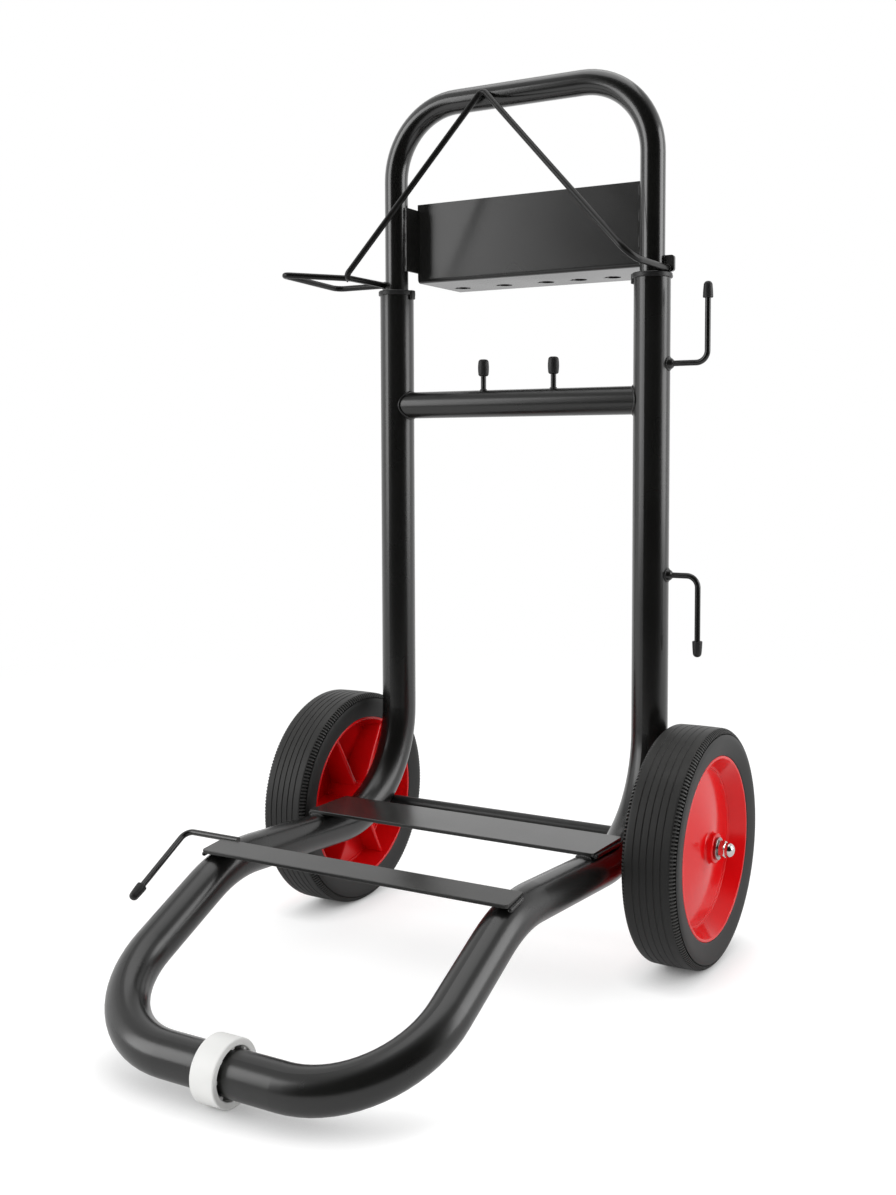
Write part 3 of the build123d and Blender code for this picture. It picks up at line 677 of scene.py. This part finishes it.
def collar_shells(node, sign):
    """Collar: a sleeve with a round-edged flange, turned round the upright's axis, and a lug."""
    low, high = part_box(node)
    foot, step, top = low.z / MM, tube_high.z / MM, high.z / MM
    profile = rounded([
        (foot, COLLAR_BORE, 0.5), (foot, COLLAR_SLEEVE, 0.5), (step, COLLAR_SLEEVE, 0.0),
        (step, COLLAR_FLANGE, 0.6), (top, COLLAR_FLANGE, 1.3), (top, COLLAR_BORE, 0.5),
    ]) * MM
    across = np.sort([sign * (UPRIGHT_X - LUG_FAR * MM), sign * (UPRIGHT_X - LUG_NEAR * MM)])
    lug = round_block(
        (across[0], UPRIGHT_Y - LUG_HALF * MM, (top - LUG_HEIGHT) * MM),
        (across[1], UPRIGHT_Y + LUG_HALF * MM, high.z),
        LUG_ROUND * MM,
    )
    return [turned_ring(profile, (sign * UPRIGHT_X, UPRIGHT_Y, 0), (0, 0, 1), turns=96), lug]


for side, sign in SIDES:
    node = f"collar_{side}"
    piece(f"moulded_{node}", collar_shells(node, sign), collar_skin, "frame", [node])


# Weld beads: the drops' pitch, swell and run-out in shares of a bead's radius, then the radii in metres

DROP_PITCH, DROP_SWELL, RUN_OUT = 1.25, 0.2, 0.03
BAR_BEAD, PEG_BEAD, HOOK_BEAD, LANCE_BEAD = 1.5 * MM, 1.0 * MM, 1.3 * MM, 1.1 * MM
STRAP_BEAD, STRAP_END_BEAD = 1.4 * MM, 2.0 * MM
TAB_BEAD, WIRE_BEAD, PANEL_BEAD = 1.0 * MM, 0.9 * MM, 1.2 * MM

# Where the beads lie, in metres
SINK = 0.3 * MM
BOSS_R = 5.2 * MM
RING_GAP = 0.25 * MM
STRAP_RUN, LANCE_RUN = 7 * MM, 6 * MM
STRAP_GAP = {"rear_strap": (1.2 * MM, 0.0), "front_strap": (0.0, 1.6 * MM)}
STRAP_SEAM_OUT, STRAP_SEAM_BACK, STRAP_SEAM_FRONT = 0.5 * MM, 3 * MM, 1 * MM
TAB_SEAM_OUT, TAB_SEAM_FOOT, TAB_SEAM_TOP = 11.2 * MM, 1.6 * MM, 0.8 * MM
WIRE_END_X, WIRE_END_SINK = 145.8 * MM, 0.2 * MM
WIRE_END_Z = {"left": 597.25 * MM, "right": 593.75 * MM}
PANEL_SEAM_X = 121.2 * MM
PANEL_SEAM_Z = ((613 * MM, 623 * MM), (635 * MM, 645 * MM), (657 * MM, 667 * MM))
LANCE_SEAM_Y, LANCE_SEAM_UP = 2.3 * MM, 0.7 * MM
LOOP_END_X, LOOP_END_Z, LOOP_END_SINK = -148.75 * MM, 597.25 * MM, 0.25 * MM
LOOP_RETURN = (-148.4 * MM, 109.5 * MM, 597.4 * MM)
LOOP_RETURN_WAY = (-0.878, -0.477, 0.052)


def weld_bead(path, out, radius, closed=False):
    """Weld bead: a round section carried along a seam. Its radius swells at each drop of the weld by the
    size of a sine of the length, and an open bead runs out round at its ends."""
    ahead = np.roll(path, -1, 0) - np.roll(path, 1, 0) if closed else np.gradient(path, axis=0)
    ahead = ahead / np.linalg.norm(ahead, axis=1, keepdims=True)
    side = np.cross(ahead, out)
    side = side / np.linalg.norm(side, axis=1, keepdims=True)
    up = np.cross(side, ahead)
    length = np.concatenate([[0], np.cumsum(np.linalg.norm(np.diff(path, axis=0), axis=1))])
    total = length[-1] + (np.linalg.norm(path[0] - path[-1]) if closed else 0)
    drops = max(2, round(total / (DROP_PITCH * radius)))
    swell = 1 - DROP_SWELL + DROP_SWELL * np.abs(np.sin(np.pi * drops * length / total))
    if not closed:
        swell = swell * np.sqrt(np.clip(np.minimum(length, total - length) / radius, RUN_OUT, 1))
    a = np.linspace(0, 2 * np.pi, 12, endpoint=False)
    spoke = np.cos(a)[:, None] * side[:, None] + np.sin(a)[:, None] * up[:, None]
    points = path[:, None] + radius * swell[:, None, None] * spoke
    return shell(points, wrap_rows=True, wrap_cols=True) if closed else capped(points)


def saddle_bead(middle, way, tube_way, rod_r, tube_r, radius):
    """Bead round a rod that stands on a tube: a circle of the rod's radius laid on the tube,
    lifted by sqrt(tube_r^2 - (rod_r cos a)^2) from the tube's axis."""
    way, tube_way = np.array(way, float), np.array(tube_way, float)
    across = np.cross(tube_way, way)
    a = np.linspace(0, 2 * np.pi, 120, endpoint=False)[:, None]
    spoke = np.cos(a) * across + np.sin(a) * tube_way
    lift = np.sqrt(tube_r**2 - (rod_r * np.cos(a)) ** 2)
    return weld_bead(np.array(middle) + rod_r * spoke + lift * way, spoke + way, radius, True)


def ring_bead(centre, way, radius):
    """Bead round a rod that ends on a flat face."""
    path = turned(np.array([[0.0, ROD_R + RING_GAP]]), centre, way, turns=72)[0]
    return weld_bead(path, path - np.array(centre) + np.array(way) * MM, radius, True)


def run_bead(start, end, out, radius, sag=0.0):
    """Straight bead from start to end, or one that sinks to both sides as a tube of radius sag does."""
    t = np.linspace(-1, 1, 60)[:, None]
    start, end = np.array(start), np.array(end)
    path = (start + end) / 2 + t * (end - start) / 2
    if sag > 0:
        half = np.linalg.norm(end - start) / 2
        path = path + (np.sqrt(sag**2 - (t * half) ** 2) - sag) * np.array([0, 0, 1])
    return weld_bead(path, np.broadcast_to(np.array(out, float), path.shape), radius)


frame_beads, handle_beads = [], []
panel_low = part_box("nozzle_panel")[0]
for side, sign in SIDES:
    upright = (sign * UPRIGHT_X, UPRIGHT_Y, BAR_Z)
    frame_beads.append(saddle_bead(upright, (-sign, 0, 0), (0, 0, 1), BAR_R, TUBE_R, BAR_BEAD))
    low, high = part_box(f"bar_peg_{side}")
    foot = ((low.x + high.x) / 2, UPRIGHT_Y, BAR_Z)
    frame_beads.append(saddle_bead(foot, (0, 0, 1), (1, 0, 0), ROD_R, BAR_R, PEG_BEAD))
    for node in STRAP_TILT:
        low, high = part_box(node)
        under = high.z - STRAP_T
        y, face = (low.y, -1) if node == "rear_strap" else (high.y, 1)
        ends = [(sign * UPRIGHT_X + x, y, under - SINK) for x in (-STRAP_RUN, STRAP_RUN)]
        frame_beads.append(run_bead(*ends, (0, face, 0.4), STRAP_BEAD, TUBE_R))
        middle, half, back, up = strap_place(node)
        seam = middle + np.array([sign * (STRAP_END + STRAP_SEAM_OUT), 0, 0]) - (STRAP_T + SINK) * up
        back_gap, front_gap = STRAP_GAP[node]
        ends = [
            seam + (half - STRAP_SEAM_BACK) * back - back_gap * up,
            seam - (half - STRAP_SEAM_FRONT) * back - front_gap * up,
        ]
        frame_beads.append(run_bead(*ends, (sign, 0, 0.3), STRAP_END_BEAD))
    low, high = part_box(f"hanger_tab_{side}")
    seam = sign * (UPRIGHT_X + TAB_SEAM_OUT)
    ends = [(seam, low.y - SINK, z) for z in (low.z + TAB_SEAM_FOOT, high.z - TAB_SEAM_TOP)]
    handle_beads.append(run_bead(*ends, (sign * 0.3, -1, 0), TAB_BEAD))
    wire_end = (sign * WIRE_END_X, low.y - WIRE_END_SINK, WIRE_END_Z[side])
    handle_beads.append(ring_bead(wire_end, (0, -1, 0), WIRE_BEAD))
    for heights in PANEL_SEAM_Z:
        ends = [(sign * PANEL_SEAM_X, panel_low.y, z) for z in heights]
        handle_beads.append(run_bead(*ends, (-sign * 0.3, -1, 0), PANEL_BEAD))
for level, way in LEVELS:
    low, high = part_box(f"cord_hook_{level}")
    root = (UPRIGHT_X, UPRIGHT_Y, low.z + BOSS_R if way > 0 else high.z - BOSS_R)
    frame_beads.append(saddle_bead(root, (1, 0, 0), (0, 0, 1), BOSS_R, TUBE_R, HOOK_BEAD))
for face in (-1, 1):
    y, z = lance_high.y - ROD_R + face * LANCE_SEAM_Y, lance_high.z - 2 * ROD_R + LANCE_SEAM_UP
    ends = [(-UPRIGHT_X + x, y, z) for x in (-LANCE_RUN, LANCE_RUN)]
    frame_beads.append(run_bead(*ends, (0, face, 0.5), LANCE_BEAD, TUBE_R))
loop_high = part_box("gun_loop")[1]
loop_end = (LOOP_END_X, loop_high.y - ROD_R - LOOP_END_SINK, LOOP_END_Z)
handle_beads.append(ring_bead(loop_end, (-1, 0, 0), WIRE_BEAD))
handle_beads.append(ring_bead(LOOP_RETURN, LOOP_RETURN_WAY, WIRE_BEAD))
piece("frame_welds", frame_beads, frame_coat, "frame", crease=180)
piece("handle_welds", handle_beads, handle_coat, "handle", crease=180)


# Stage: pale floor, white surround, soft lamps

# Way from the cart to the camera, sizes in metres, edges of the ramps and strengths of the glows
CAMERA_WAY = (0.48, -0.86, 0.17)
FLOOR_HALF, FLOOR_Z = 8, -0.0003
FLOOR_TONE, FLOOR_SEEN_TONE = (0.9, 0.9, 0.9, 1), (0.45, 0.45, 0.45, 1)
FLOOR_LIFT, GLOSS_LIFT = 0.7, 0.5
# Reach in metres and power of the ambient occlusion that darkens the floor's glow near the cart: painted
# contact shadow
CONTACT_SHADE_REACH, CONTACT_SHADE_POWER = 0.03, 0.6
FAR_FADE = (0.75, 1.9)
FRONT_FADE, FRONT_GLOW = (0.4, 1.0), 0.02
CONE_EDGE, CONE_GLOW = (0.72, 0.2), 0.01
OVERHEAD_EDGE, OVERHEAD_GLOW = (0.35, 0.9), 0.6


def floor_material():
    """Pale floor with a glow that lifts it to white, whole for the camera and halved for gloss: lift times
    openness to a power. The glow falls off where the cart closes the floor in, which paints a contact shadow
    over the lamps' real shadow. Both see it fade to white far out, but on the camera's side gloss sees it
    nearly black, as the surround is there."""
    made = bpy.data.materials.new("pale_floor")
    made.use_nodes = True
    tree = made.node_tree
    tree.nodes.clear()
    light = add_node(tree, "ShaderNodeLightPath").outputs
    gloss = calc(tree, "MAXIMUM", light["Is Glossy Ray"], light["Is Transmission Ray"])
    seen = calc(tree, "MAXIMUM", light["Is Camera Ray"], gloss)
    place = add_node(tree, "ShaderNodeTexCoord").outputs["Object"]
    reach = add_node(tree, "ShaderNodeVectorMath", {0: place}, operation="LENGTH").outputs["Value"]
    far = ramp(tree, reach, *FAR_FADE, soft=True)
    front = ramp(tree, dot(tree, place, CAMERA_WAY), *FRONT_FADE, soft=True)
    tone = blend(tree, seen, FLOOR_TONE, FLOOR_SEEN_TONE)
    matt = add_node(tree, "ShaderNodeBsdfDiffuse", {"Color": tone}).outputs[0]
    openness = add_node(tree, "ShaderNodeAmbientOcclusion", {"Distance": CONTACT_SHADE_REACH}, samples=8).outputs["AO"]
    # The glow is darker where ambient occlusion finds the cart close by: a painted contact shadow
    glow_with_painted_shadow = calc(tree, "MULTIPLY", calc(tree, "POWER", openness, CONTACT_SHADE_POWER), FLOOR_LIFT)
    lit = calc(tree, "MAXIMUM", light["Is Camera Ray"], calc(tree, "MULTIPLY", gloss, GLOSS_LIFT))
    glow = add_node(tree, "ShaderNodeEmission", {"Strength": calc(tree, "MULTIPLY", lit, glow_with_painted_shadow)}).outputs[0]
    near = add_node(tree, "ShaderNodeAddShader", {0: matt, 1: glow}).outputs[0]
    white = add_node(tree, "ShaderNodeEmission", {"Strength": 1.0}).outputs[0]
    fade = calc(tree, "MULTIPLY", far, seen)
    both = add_node(tree, "ShaderNodeMixShader", {0: fade, 1: near, 2: white}).outputs[0]
    dark = add_node(tree, "ShaderNodeEmission", {"Strength": FRONT_GLOW}).outputs[0]
    hidden = calc(tree, "MULTIPLY", front, gloss)
    shown = add_node(tree, "ShaderNodeMixShader", {0: hidden, 1: both, 2: dark}).outputs[0]
    add_node(tree, "ShaderNodeOutputMaterial", {"Surface": shown})
    return made


floor_corners = [(x * FLOOR_HALF, y * FLOOR_HALF, FLOOR_Z) for x, y in ((-1, -1), (1, -1), (1, 1), (-1, 1))]
floor_mesh = bpy.data.meshes.new("studio_floor")
floor_mesh.from_pydata(floor_corners, [], [(0, 1, 2, 3)])
floor_mesh.materials.append(floor_material())
floor = bpy.data.objects.new("studio_floor", floor_mesh)
scene.collection.objects.link(floor)


def surround():
    """White for the camera. For light and gloss it is white behind and beside the cart, nearly black in a
    cone about the camera and dimmer overhead: the strength is the product of the two ramps."""
    world = bpy.data.worlds.new("studio_surround")
    scene.world = world
    world.use_nodes = True
    tree = world.node_tree
    sky = tree.nodes["Background"]
    camera_ray = add_node(tree, "ShaderNodeLightPath").outputs["Is Camera Ray"]
    way = add_node(tree, "ShaderNodeTexCoord").outputs["Generated"]
    height = add_node(tree, "ShaderNodeSeparateXYZ", {"Vector": way}).outputs["Z"]
    around = ramp(tree, dot(tree, way, CAMERA_WAY), *CONE_EDGE, CONE_GLOW, 1.0, soft=True)
    overhead = ramp(tree, height, *OVERHEAD_EDGE, 1.0, OVERHEAD_GLOW, soft=True)
    dome = calc(tree, "MULTIPLY", around, overhead)
    tree.links.new(calc(tree, "MAXIMUM", dome, camera_ray), sky.inputs["Strength"])
    sky.inputs["Color"].default_value = (1, 1, 1, 1)


surround()


def soft_lamp(name, place, target, size, power):
    """Soft lamp with a rectangular face that looks from its place to its target."""
    data = bpy.data.lights.new(name, "AREA")
    data.shape = "RECTANGLE"
    data.size, data.size_y = size
    data.energy = power
    lamp = bpy.data.objects.new(name, data)
    scene.collection.objects.link(lamp)
    lamp.location = place
    aim = np.array(target) - np.array(place)
    lamp.rotation_euler = (
        math.atan2(math.hypot(aim[0], aim[1]), -aim[2]), 0, math.atan2(aim[1], aim[0]) - math.pi / 2
    )
    return lamp


soft_lamp("lamp_top", place=(-0.2, 0.3, 2.6), target=(0, 0, 0.2), size=(2.0, 2.0), power=16)
soft_lamp("lamp_left", place=(-1.65, -1.6, 1.05), target=(0, 0, 0.5), size=(1.2, 1.7), power=19)
soft_lamp("lamp_right", place=(2.1, 0.85, 1.05), target=(0, 0, 0.5), size=(1.3, 1.7), power=21)
fill = soft_lamp("lamp_fill", place=(0.6, -2.3, 1.2), target=(0, 0, 0.3), size=(1.6, 1.6), power=27)
fill.visible_glossy = False


# Camera: fitted to the photo, with the lens axis off the middle of the frame as it is there

FRAME_PX = (896.0, 1195.0)
FOCAL_PX = 1333.39
AXIS_PX = (514.62, 543.62)
SENSOR = 36.0
CAMERA_X, CAMERA_AHEAD_OF_AXLE, CAMERA_Z = 0.58731, 1.05605, 0.42966
CAMERA_DIP, CAMERA_TURN = 3.587, 28.773
camera_data = bpy.data.cameras.new("view")
camera_data.sensor_width = SENSOR
camera_data.lens = FOCAL_PX * SENSOR / FRAME_PX[1]
camera_data.shift_x = (FRAME_PX[0] / 2 - AXIS_PX[0]) / FRAME_PX[1]
camera_data.shift_y = (AXIS_PX[1] - FRAME_PX[1] / 2) / FRAME_PX[1]
camera_data.clip_end = 50
camera = bpy.data.objects.new("view", camera_data)
scene.collection.objects.link(camera)
camera.location = (CAMERA_X, AXLE_Y - CAMERA_AHEAD_OF_AXLE, CAMERA_Z)
camera.rotation_euler = (math.radians(90 - CAMERA_DIP), 0, math.radians(CAMERA_TURN))
scene.camera = camera
scene.view_settings.view_transform = "Standard"
